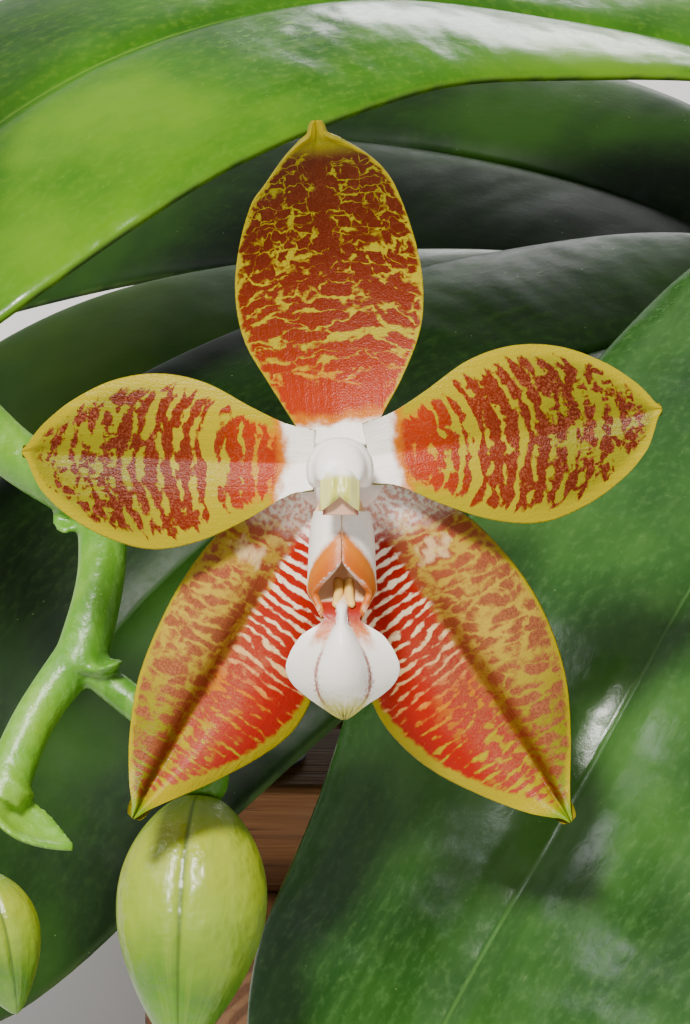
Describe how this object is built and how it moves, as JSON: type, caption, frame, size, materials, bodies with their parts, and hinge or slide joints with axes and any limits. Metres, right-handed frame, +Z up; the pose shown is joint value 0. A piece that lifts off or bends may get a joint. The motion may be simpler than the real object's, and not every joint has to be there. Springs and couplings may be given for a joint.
{
  "type": "phalaenopsis amboinensis in slatted basket",
  "caption": "Moth orchid with barred star-shaped bloom and buds on an arching spike, leathery leaves and aerial roots, planted in bark in a slatted wooden basket.",
  "frame": {"origin": "middle of the basket's underside, in the plane that its two lowest rails rest on", "axes": "+Z up the stem, -Y towards the side that the bloom faces, +X to the right seen from there"},
  "size_m": [0.2712, 0.2586, 0.2021],
  "materials": {
    "basket_wood": "weathered, open grain",
    "rod_wire": "galvanised, dull",
    "bark": "rough, matt",
    "root": "silvery velamen, matt",
    "stem": "satin",
    "leaf": "leathery, glossy",
    "stalk": "satin",
    "sepal": "waxy, barred red-brown on yellow",
    "petal": "waxy, barred red-brown on yellow",
    "column": "waxy",
    "anther_cap": "waxy",
    "lip": "waxy, white marked with orange and red",
    "bud": "waxy, green-yellow"
  },
  "bodies": {
    "root": {"basket_rail_front_1": "basket_wood", "basket_rail_back_1": "basket_wood", "basket_rail_left_2": "basket_wood", "basket_rail_right_2": "basket_wood", "basket_rail_front_3": "basket_wood", "basket_rail_back_3": "basket_wood", "basket_rail_left_4": "basket_wood", "basket_rail_right_4": "basket_wood", "basket_rail_front_5": "basket_wood", "basket_rail_back_5": "basket_wood", "basket_rail_left_6": "basket_wood", "basket_rail_right_6": "basket_wood", "basket_rail_front_7": "basket_wood", "basket_rail_back_7": "basket_wood", "basket_floor_slat_1": "basket_wood", "basket_floor_slat_2": "basket_wood", "basket_floor_slat_3": "basket_wood", "basket_floor_slat_4": "basket_wood", "corner_rod_front_left": "rod_wire", "corner_rod_front_right": "rod_wire", "corner_rod_back_left": "rod_wire", "corner_rod_back_right": "rod_wire", "bark_mix": "bark", "roots": "root", "stem": "stem", "leaf_front_low": "leaf", "leaf_front_shaded": "leaf", "leaf_front_arching": "leaf", "leaf_top_arching": "leaf", "leaf_back_left": "leaf", "leaf_back_low": "leaf", "leaf_back_middle": "leaf", "leaf_back_upper": "leaf", "leaf_new": "leaf", "flower_spike": "stalk", "dorsal_sepal": "sepal", "lateral_sepal_left": "sepal", "lateral_sepal_right": "sepal", "petal_left": "petal", "petal_right": "petal", "column": "column", "anther_cap": "anther_cap", "lip": "lip", "bud_large": "bud", "bud_small": "bud", "bud_tip": "bud"}
  },
  "joints": []
}
